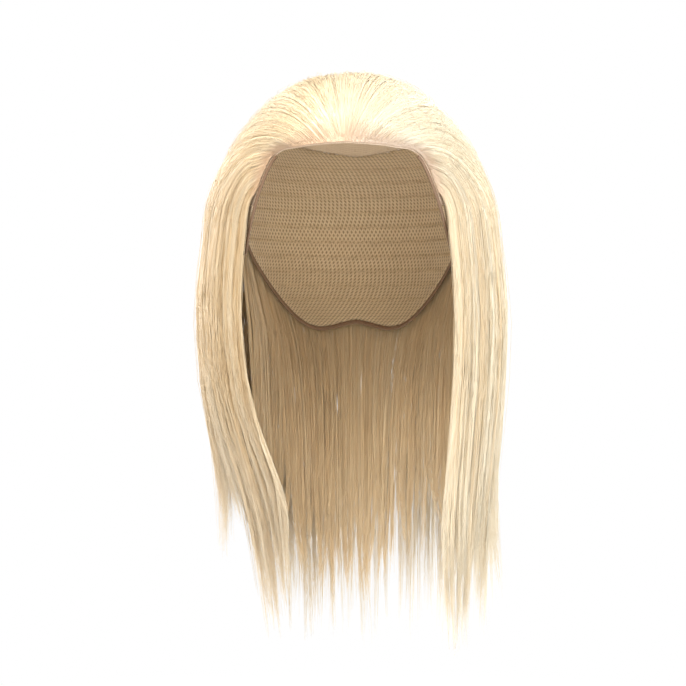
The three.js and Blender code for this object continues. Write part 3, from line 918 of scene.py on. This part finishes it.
def combed_point(root, way, level, thickness):
    """A point of the outer hair, from way 0 at the root to 1 at the ears, then down to a level."""
    strand = combed(root)
    start, swept, above, plumb = strand["steer"]
    t = way**SLOW_START
    toward = (1 - t) ** 3 * start + 3 * t * (1 - t) ** 2 * swept
    toward = toward + 3 * t * t * (1 - t) * above + t**3 * plumb
    toward = toward / np.linalg.norm(toward)
    loft = strand["loft"] * math.sin(math.pi * t) ** 2
    point = off_form(toward, clear_of_cap(t) + loft + thickness, strand["stand"] * smooth(t))
    if way < 1:
        return point
    drop = EAR_LEVEL - level
    flare = EAR_FLARE["reach"] * smooth(drop / EAR_FLARE["drop"])
    settle = min(1.0, drop / (EAR_LEVEL - DRAPED["level"])) ** DRAPED["curve"]
    point[0] += flare * toward[0] - strand["inward"] * settle
    point[1] -= strand["forward"] * settle
    point[2] = level
    return point


def nape_point(azimuth, way, level, thickness):
    """A point of the weft hair, which lies on the back of the cap and turns in below it."""
    lowest = min(cap_edge(azimuth) + NAPE["past_edge"], NAPE["lowest"])
    toward = direction(azimuth, NAPE["root"] + (lowest - NAPE["root"]) * way)
    point = off_form(toward, clear_of_cap(way) + thickness)
    if way < 1:
        return point
    drop = max(0.0, point[2] - level)
    aside = (abs(azimuth - 180) / (180 - NAPE["from"])) ** NAPE_INWARD["curve"]
    reach = NAPE_INWARD["middle"] + (NAPE_INWARD["sides"] - NAPE_INWARD["middle"]) * aside
    inward = reach * (1 - math.exp(-drop / NAPE["turn"]))
    return point - np.array([inward * toward[0], inward * toward[1], drop])


print("ear-level fall of the brow strand", combed_point(34, 1.0, EAR_LEVEL, 8.0).round(1))

# %% [markdown]
# ## Locks
#
# Hair gathers in locks that part from each other low down and end at different levels. One even
# curtain would look cut with a ruler. A table has one entry per lock in each of its columns: the
# lock's share of the width, the level of its tip, and how far the tip swings. Locks are thick in their
# middle, flatter over the crown than below it, and thin beside the front opening.

# %% Lock tables
CURTAINS = {
    "side_hair_right": {"share": (-55, -36), "parts": -232.0, "edge": 6.2, "crest": 2.8},
    "front_hair_right": {"share": (-36, -10), "parts": -232.0, "edge": 6.2, "crest": 2.8},
    "top_hair": {"share": (-10, 10), "parts": -346.0, "edge": 6.2, "crest": 2.8},
    "front_hair_left": {"share": (10, 36), "parts": -318.0, "edge": 6.2, "crest": 2.8},
    "side_hair_left": {"share": (36, 55), "parts": -318.0, "edge": 6.2, "crest": 2.8},
    "nape_hair": {"share": (105, 255), "parts": -286.0, "edge": 4.2, "crest": 1.6},
}
LOCKS = {
    "side_hair_right": {
        "width": (1, 1.25, 0.85, 1.1),
        "tip": (-366, -386, -322, -332),
        "sideways": (5, 12, -2, -4),
        "forward": (0, 0, 0, 0),
    },
    "front_hair_right": {
        "width": (1, 1.25, 0.85, 1.1, 0.8, 1.2),
        "tip": (-290, -312, -330, -368, -388, -380),
        "sideways": (-3, -1, -3, 14, 8, 2),
        "forward": (0, 0, -2, 0, 2, 4),
    },
    "top_hair": {
        "width": (1, 1.25, 0.85, 1.1, 0.8, 1.2, 0.95, 1.15, 0.8, 1.05, 1.3, 0.9),
        "tip": (-392, -384, -398, -390, -400, -394, -402, -390, -398, -386, -396, -384),
        "sideways": (2, 1, 2, 0, 1, -1, 0, -1, -2, 0, -2, -1),
        "forward": (4, 4, 3, 4, 4, 5, 4, 4, 3, 4, 4, 3),
    },
    "front_hair_left": {
        "width": (1.2, 0.95, 1.15, 0.8, 1.05, 1.3),
        "tip": (-388, -376, -384, -366, -356, -344),
        "sideways": (-3, -2, 0, 3, 9, 11),
        "forward": (2, 2, 3, 4, 5, 6),
    },
    "side_hair_left": {
        "width": (1.2, 0.95, 1.15, 0.8),
        "tip": (-350, -378, -394, -388),
        "sideways": (9, 1, -4, 3),
        "forward": (8, 10, 11, 10),
    },
    "nape_hair": {
        "width": (1, 1.25, 0.85, 1.1, 0.8, 1.2, 0.95, 1.15),
        "tip": (-312, -340, -356, -368, -362, -370, -354, -330),
        "sideways": (6, 2, 0, 0, 0, 0, 2, 4),
        "forward": (3, 0, -4, -4, -4, -4, -4, 3),
    },
}
print("locks", {name: len(rows["tip"]) for name, rows in LOCKS.items()})

# %% A point of a lock
THICKNESS = {"root": 2.2, "rise": 2.2}
# The middle of a lock stands up as an arch, which flattens to its mean height on the crown.
ARCH = {"mean": 0.64, "on_crown": 0.15, "drop": 90.0}
FRONT_EDGE = {"left": 0.25, "over": 6.0}
GATHER = {"left": 0.42, "curve": 0.75}


def lock_place(name, lock, share):
    start, end = CURTAINS[name]["share"]
    widths = LOCKS[name]["width"]
    return start + (end - start) * (sum(widths[:lock]) + share * widths[lock]) / sum(widths)


def lock_thickness(curtain, share, way, level):
    relief = ARCH["on_crown"] + (1 - ARCH["on_crown"]) * smooth((EAR_LEVEL - level) / ARCH["drop"])
    arch = math.sin(math.pi * min(1.0, max(0.0, share)))
    ridge = curtain["crest"] * (ARCH["mean"] + (arch - ARCH["mean"]) * relief)
    swell = curtain["edge"] - THICKNESS["root"] + ridge
    return THICKNESS["root"] + smooth(way * THICKNESS["rise"]) * swell


def front_thinning(place):
    inside = smooth((COMBING["root"][-1] - abs(place)) / FRONT_EDGE["over"])
    return FRONT_EDGE["left"] + (1 - FRONT_EDGE["left"]) * inside


def lock_point(name, lock, share, way, level, lift):
    """A point at a share of a lock's width, and lift of the way from its inside to its outside."""
    curtain, rows = CURTAINS[name], LOCKS[name]
    comb = nape_point if name == "nape_hair" else combed_point
    place = lock_place(name, lock, share)
    thickness = lock_thickness(curtain, share, way, level)
    if comb is combed_point:
        thickness *= front_thinning(place)
    point = comb(place, way, level, lift * thickness)
    along = (level - curtain["parts"]) / (rows["tip"][lock] - curtain["parts"])
    if way < 1 or along <= 0:
        return point
    middle = comb(lock_place(name, lock, 0.5), way, level, thickness / 2)
    kept = GATHER["left"] + (1 - GATHER["left"]) * (1 - min(1.0, along)) ** GATHER["curve"]
    swing = np.array([rows["sideways"][lock], -rows["forward"][lock], 0.0]) * along**2
    return middle + (point - middle) * kept + swing


print("crest of the first top lock", lock_point("top_hair", 0, 0.5, 0.4, EAR_LEVEL, 1.0).round(1))

# %% [markdown]
# ## Guides
#
# A real wig has far too many hairs to draw one by one, so a few guide lines per lock carry the
# shape. Each guide point also knows how far its bundle reaches across the lock and through its
# thickness, and how far a strand may slide along the guide there. Each bundle has a tone of its own,
# which gives the streaks of light and dark.

# %% Guide lines with their bundle sizes
SHORTEST = {"by": 40.0, "curve": 1.4}
FALL_SPACING = 1.4
TIP_SWING = 2.4
DRIFT_ASIDE = {"size": 1.1, "rise": 1.5}
DRIFT_DEEP = {"size": 0.2, "rise": 2.0, "from": 0.7}
INSIDE, OUTSIDE = 0.06, 0.94


def wander(rng, ways, size):
    """A slow random drift along a strand that starts at nothing."""
    phases, turns = rng.uniform(0, 2 * math.pi, 3), rng.uniform(0.6, 2.2, 3)
    wave = sum(np.sin(turn * 2 * math.pi * ways + phase) for turn, phase in zip(turns, phases)) / 3
    return (wave - wave[0]) * size


def guide_steps(name, end, dome, fall):
    """Places along one guide: over the crown, then down to its end."""
    top = NAPE["top"] if name == "nape_hair" else EAR_LEVEL
    over_crown = [(i / dome, top, 0.0) for i in range(dome)]
    downs = np.linspace(0, 1, fall) ** FALL_SPACING
    return over_crown + [(1.0, top + (end - top) * down, down) for down in downs]


def guide_rows(rng, name, lock, share, half, dome, fall, narrow):
    """The points of one guide, with its bundle's reach across the lock and through its thickness."""
    end = LOCKS[name]["tip"][lock] + SHORTEST["by"] * rng.uniform() ** SHORTEST["curve"]
    steps = guide_steps(name, end, dome, fall)
    ways = np.linspace(0, 1, len(steps))
    aside = wander(rng, ways, DRIFT_ASIDE["size"]) * smooth(ways * DRIFT_ASIDE["rise"])
    deep = wander(rng, ways, DRIFT_DEEP["size"])
    deep = deep * smooth(ways * DRIFT_DEEP["rise"] - DRIFT_DEEP["from"])
    swing = np.array([*rng.normal(0, TIP_SWING, 2), 0.0])
    for i, (way, level, down) in enumerate(steps):
        middle = share + aside[i] * half
        inside = lock_point(name, lock, middle, way, level, INSIDE + deep[i])
        outside = lock_point(name, lock, middle, way, level, OUTSIDE + deep[i])
        left = lock_point(name, lock, middle - half, way, level, 0.5)
        right = lock_point(name, lock, middle + half, way, level, 0.5)
        left_over = 1 - narrow * down**3
        yield inside + swing * down**3, (right - left) / 2 * left_over, (outside - inside) * left_over


def slack_of(rows):
    """How far each point may slide without passing its neighbours, in shares of the guide's length."""
    gaps = np.linalg.norm(np.diff([row[0] for row in rows], axis=0), axis=1)
    room = np.minimum(gaps[:-1], gaps[1:]) * 0.5 / gaps.sum()
    return [0.0, *room, 0.0]


print("steps of a top guide", len(guide_steps("top_hair", -390.0, 13, 6)))

# %% All guides of a curtain
TONE_SPREAD = {"lock": 0.06, "guide": 0.08}


def add_guides(name, per_lock, dome, fall, narrow, tone, seed):
    rng = np.random.default_rng(seed)
    rows, tones, slack, edges = [], [], [], []
    for lock in range(len(LOCKS[name]["tip"])):
        lock_tone = tone + rng.normal(0, TONE_SPREAD["lock"])
        for g in range(per_lock):
            share, half = (g + 0.5) / per_lock, 0.5 / per_lock
            guide = list(guide_rows(rng, name, lock, share, half, dome, fall, narrow))
            edges += [(len(rows) + i, len(rows) + i + 1) for i in range(len(guide) - 1)]
            rows += guide
            slack += slack_of(guide)
            guide_tone = lock_tone + rng.normal(0, TONE_SPREAD["guide"])
            tones += [float(np.clip(guide_tone, 0.05, 0.95))] * len(guide)
    points, across, outward = (np.array(column) for column in zip(*rows))
    notes = {"across": across * MM, "outward": outward * MM, "tone": tones, "slack": slack}
    return add_lines(f"{name}_strands", points, edges, notes)


print("guides are ready to be drawn")

# %% [markdown]
# ## Growing strands
#
# Blender's own hair curves would be lost in the export, so strands are thin tubes. Geometry Nodes
# copy every guide many times, push each copy to its own place in the bundle, let it drift along the
# surface, cut it to its own length and sweep a three-sided tube along it. A strand has few points,
# and bends would show where many strands share them. Each copy therefore reads its points off a
# rounded guide, a little further along or back than its neighbours.

# %% Copies of the guides, each with its own chances
CHANCES = {
    "side": (-1.8, 1.8),
    "depth": (0, 1),
    "stray": (0, 1),
    "cut": (0, 1),
    "tint": (-1, 1),
    "girth": (0.7, 1.25),
    "slide": (-1, 1),
}


def copy_guides(node, size, lines):
    """Copies of each guide, and a wire for each chance and for the number of the guide."""
    sockets = {"Geometry": lines, "Amount": size["Strands per guide"]}
    copies = node("GeometryNodeDuplicateElements", {"domain": "SPLINE"}, sockets)
    number = node("GeometryNodeInputIndex")
    rolls = {"guide": (number / size["Strands per guide"]).math("FLOOR")}
    for i, (label, (low, high)) in enumerate(CHANCES.items()):
        sockets = {"Min": low, "Max": high, "ID": number, "Seed": size["Seed"] + i}
        rolls[label] = node("FunctionNodeRandomValue", {"data_type": "FLOAT"}, sockets)
    settings = {"domain": "CURVE", "captures": list(rolls)}
    rolled = node("GeometryNodeCaptureAttribute", settings, {"Geometry": copies, **rolls})
    return rolled, {label: rolled.output(label) for label in rolls}


print("chances", list(CHANCES))

# %% Places of the strands in their bundles
DRIFT = {"scale": 8.0, "detail": 1.5, "apart": 40.0, "at_root": 0.12}
WILD = {"drift": 3.0, "rare": 12, "lift": 0.45, "rarer": 24}
# Most strands lie near the outside of their bundle, and all of them rise from the cap at the root.
OUTER_FILL = 0.35
ROOT_RISE = {"from": 0.1, "slope": 22.0}


def place_strands(node, size, lines, copies, roll):
    along = node("GeometryNodeSplineParameter")
    rounded = node("GeometryNodeCurveSplineType", {"spline_type": "CATMULL_ROM"}, {"Curve": lines})
    slid = along + stored(node, "slack", "FLOAT") * roll["slide"]

    def on_guide(label):
        value = stored(node, label, "FLOAT_VECTOR")
        sockets = {"Curves": rounded, "Value": value, "Factor": slid, "Curve Index": roll["guide"]}
        return node("GeometryNodeSampleCurve", {"data_type": "FLOAT_VECTOR", "mode": "FACTOR"}, sockets)

    across, outward = on_guide("across"), on_guide("outward")
    place = across.output("Position")
    sockets = {"Vector": place, "W": roll["stray"] * DRIFT["apart"]}
    sockets.update({"Scale": DRIFT["scale"], "Detail": DRIFT["detail"]})
    drift = node("ShaderNodeTexNoise", {"noise_dimensions": "4D"}, sockets, "Color")
    drift = drift.vector("SUBTRACT", (0.5, 0.5, 0.5)).times(2.0)
    upright = outward.vector("NORMALIZE")
    drift = drift.vector("SUBTRACT", upright.times(drift.vector("DOT_PRODUCT", upright)))
    wildness = 1 + WILD["drift"] * roll["stray"] ** WILD["rare"]
    reach = size["Wander"] * (DRIFT["at_root"] + along) * wildness
    rooted = (along * ROOT_RISE["slope"] + ROOT_RISE["from"]).math("MINIMUM", 1.0)
    depth = (roll["depth"] ** OUTER_FILL + WILD["lift"] * roll["stray"] ** WILD["rarer"]) * rooted
    push = across.times(roll["side"])
    push = push.vector("ADD", outward.times(depth))
    push = push.vector("ADD", drift.times(reach))
    sockets = {"Geometry": copies, "Position": place, "Offset": push}
    return node("GeometryNodeSetPosition", None, sockets)


print("outer fill", OUTER_FILL)

# %% [markdown]
# ## Tubes and their map
#
# A strand thins towards its tip. The map stored on its tube holds the strand's tone across and the
# way from root to tip along, so strands of one tone share the same strip of it, and a picture of the
# finish needs no more room than a few dozen strands.

# %% Tubes with a map of tone and way
TONES = 40
TINT = 0.15
ROOT_CUT = 0.012
TAPER = {"over": 5.0, "tip": 0.25, "stray": 0.45, "rare": 8}
STRIP = {"from": 0.15, "width": 1.05}
MAP_END = 0.01


def sweep_tubes(node, size, placed, roll):
    along = node("GeometryNodeSplineParameter")
    ends = 1 - size["Uneven ends"] * roll["cut"]
    sockets = {"Curve": placed, "Start": roll["depth"] * ROOT_CUT, "End": ends}
    trimmed = node("GeometryNodeTrimCurve", {"mode": "FACTOR"}, sockets)
    sockets = {"Geometry": trimmed, "way": along, "tone": stored(node, "tone", "FLOAT")}
    settings = {"domain": "POINT", "captures": ["way", "tone"]}
    measured = node("GeometryNodeCaptureAttribute", settings, sockets)
    way, tone = measured.output("way"), measured.output("tone")
    ring = node("GeometryNodeCurvePrimitiveCircle", {"mode": "RADIUS"}, {"Resolution": 3, "Radius": 1.0})
    sockets = {"Geometry": ring, "turn": along}
    ring = node("GeometryNodeCaptureAttribute", {"domain": "POINT", "captures": ["turn"]}, sockets)
    thin = ((1 - way) * TAPER["over"]).math("MINIMUM", 1.0) * (1 - TAPER["tip"]) + TAPER["tip"]
    girth = roll["girth"] * thin * (1 - TAPER["stray"] * roll["stray"] ** TAPER["rare"])
    scale = size["Strand radius"] * girth
    sockets = {"Curve": measured, "Profile Curve": ring, "Scale": scale, "Fill Caps": True}
    tubes = node("GeometryNodeCurveToMesh", None, sockets)
    shade = (tone + roll["tint"] * TINT).clamp(0.0, 0.999)
    strip = (shade * TONES).math("FLOOR") + STRIP["from"] + ring.output("turn") * STRIP["width"]
    spot = node("ShaderNodeCombineXYZ", None, {0: strip / TONES, 1: MAP_END + way * (1 - 2 * MAP_END)})
    sockets = {"Geometry": tubes, "Name": "OFBake", "Value": spot}
    return node("GeometryNodeStoreNamedAttribute", {"data_type": "FLOAT2", "domain": "CORNER"}, sockets)


def strand_tree():
    sizes = {
        "Guides": ("Geometry", None),
        "Strands per guide": ("Int", 20),
        "Strand radius": ("Float", 0.2 * MM),
        "Wander": ("Float", 2.0 * MM),
        "Uneven ends": ("Float", 0.1),
        "Seed": ("Int", 1),
        "Hair finish": ("Material", None),
    }
    node, size = open_tree("grow_strands", sizes)
    lines = node("GeometryNodeMeshToCurve", None, {"Mesh": size["Guides"]})
    copies, roll = copy_guides(node, size, lines)
    placed = place_strands(node, size, lines, copies, roll)
    return close_tree(node, sweep_tubes(node, size, placed, roll), size["Hair finish"])


STRANDS = strand_tree()
print("strand tree nodes", len(STRANDS.nodes))

# %% [markdown]
# ## Hair colour
#
# Pale blonde is never one colour: some strands are honey, most are cream, roots are a little deeper
# and the ends a little lighter, partly by their own colour and partly by painted light shining
# through them. All of that comes from the strand map. On the crown, where the hair lies flat, the
# tones are drawn together towards a pale one, a painted highlight of the light from above, which
# depends on height alone.

# %% Hair finishes
# LIT_CROWN draws the crown's tones towards a pale one: a painted highlight of the light from above.
LIT_CROWN = {"from": -0.085, "slope": 18.0, "tone": 0.74, "share": 0.7}
ROOTS = {"slope": 26.0, "share": 0.95}
# The ends are paler, partly by their own colour and partly by painted light shining through them.
TIPS_PALE_AND_LIT = {"from": 0.58, "slope": 2.2, "share": 0.5}
GRAIN = 22.0


def hair_finish(name, stops, root, tip):
    finish, tree, shader = new_finish(name)
    place = Wire.make(tree, "ShaderNodeUVMap", {"uv_map": "OFBake"})
    across = Wire.make(tree, "ShaderNodeSeparateXYZ", sockets={0: place})
    way = across.output("Y")
    tone = ((across * TONES).math("FLOOR") + 0.5) / TONES
    spot = Wire.make(tree, "ShaderNodeTexCoord", output="Object")
    height = Wire.make(tree, "ShaderNodeSeparateXYZ", sockets={0: spot}, output="Z")
    # crown is the share of that painted highlight. It grows with height and also evens out the painted
    # side shade.
    crown = ((height - LIT_CROWN["from"]) * LIT_CROWN["slope"]).clamp(0.0, 1.0)
    body = (tone + (LIT_CROWN["tone"] - tone) * crown * LIT_CROWN["share"]).ramp(stops)
    near_root = (1 - way * ROOTS["slope"]).math("MAXIMUM", 0.0)
    # near_tip lightens the ends: partly their own colour, partly painted light through thin hair.
    near_tip = ((way - TIPS_PALE_AND_LIT["from"]) * TIPS_PALE_AND_LIT["slope"]).math("MAXIMUM", 0.0)
    grain = noise(place, GRAIN, 2.0, {"noise_dimensions": "2D"})
    colour = body.blend(root, near_root * ROOTS["share"]).blend(tip, near_tip * TIPS_PALE_AND_LIT["share"])
    feed(colour, shader, "Base Color")
    feed(0.34 + grain * 0.12 + near_tip * 0.1, shader, "Roughness")
    shader.inputs["Specular IOR Level"].default_value = 0.55
    return finish


BLONDE_STOPS = [
    (0.05, (0.72, 0.53, 0.30)),
    (0.4, (0.88, 0.73, 0.51)),
    (0.7, (0.95, 0.85, 0.67)),
    (1.0, (0.98, 0.93, 0.81)),
]
# The nape hair's ramp is warmer and deeper than the blonde one: painted warm shade in the hollow behind
# the neck.
NAPE_SHADE_STOPS = [
    (0.05, (0.72, 0.50, 0.27)),
    (0.5, (0.88, 0.68, 0.42)),
    (1.0, (0.95, 0.81, 0.58)),
]
HAIR = hair_finish("blonde_hair", BLONDE_STOPS, (0.60, 0.39, 0.26, 1), (0.98, 0.94, 0.84, 1))
INNER_HAIR = hair_finish("nape_shade_hair", NAPE_SHADE_STOPS, (0.60, 0.42, 0.22, 1), (0.94, 0.82, 0.62, 1))
print("hair finishes", HAIR.name, INNER_HAIR.name)

# %% [markdown]
# ## All the hair
#
# Every curtain is grown by the same tree. The table gives the guides per lock, their points over the
# crown and in the fall, the strands per guide, how much a bundle narrows, how uneven its ends are,
# its tone and its seed. The top hair goes furthest round the form, so its guides have the most
# points. The wearer's right side gets a deeper tone than the left: painted shade on the side away
# from the key lamp.

# %% Grow the hair
STRAND_RADIUS = 0.21
WANDER = 2.2
GROWTH_COLUMNS = ("per_lock", "dome", "fall", "strands", "narrow", "uneven", "tone", "seed")
# The right curtains' tone of 0.28, against 0.62 on the left, is painted shade on the side away from the
# key lamp.
GROWTH = {
    "top_hair": (12, 13, 6, 12, 0.3, 0.1, 0.50, 11),
    "front_hair_left": (9, 11, 7, 27, 0.45, 0.2, 0.62, 23),
    "front_hair_right": (9, 11, 7, 27, 0.45, 0.2, 0.28, 37),
    "side_hair_left": (9, 9, 7, 38, 0.45, 0.2, 0.62, 41),
    "side_hair_right": (9, 9, 7, 38, 0.45, 0.2, 0.28, 53),
    "nape_hair": (11, 4, 7, 24, 0.35, 0.14, 0.55, 67),
}


def grow(name, per_lock, dome, fall, strands, narrow, uneven, tone, seed):
    finish, slot = (INNER_HAIR, "inner_hair") if name == "nape_hair" else (HAIR, "hair")
    values = {
        "Strands per guide": strands,
        "Strand radius": STRAND_RADIUS * MM,
        "Wander": WANDER * MM,
        "Uneven ends": uneven,
        "Seed": seed,
        "Hair finish": finish,
    }
    piece = add_guides(name, per_lock, dome, fall, narrow, tone, seed)
    return seat(run_nodes(piece, STRANDS, values), slot, name)


total = 0
for hair_name, row in GROWTH.items():
    hair = grow(hair_name, **dict(zip(GROWTH_COLUMNS, row)))
    hair.data.calc_loop_triangles()
    total += len(hair.data.loop_triangles)
    print(hair_name, "triangles", len(hair.data.loop_triangles))
print("hair triangles", total)
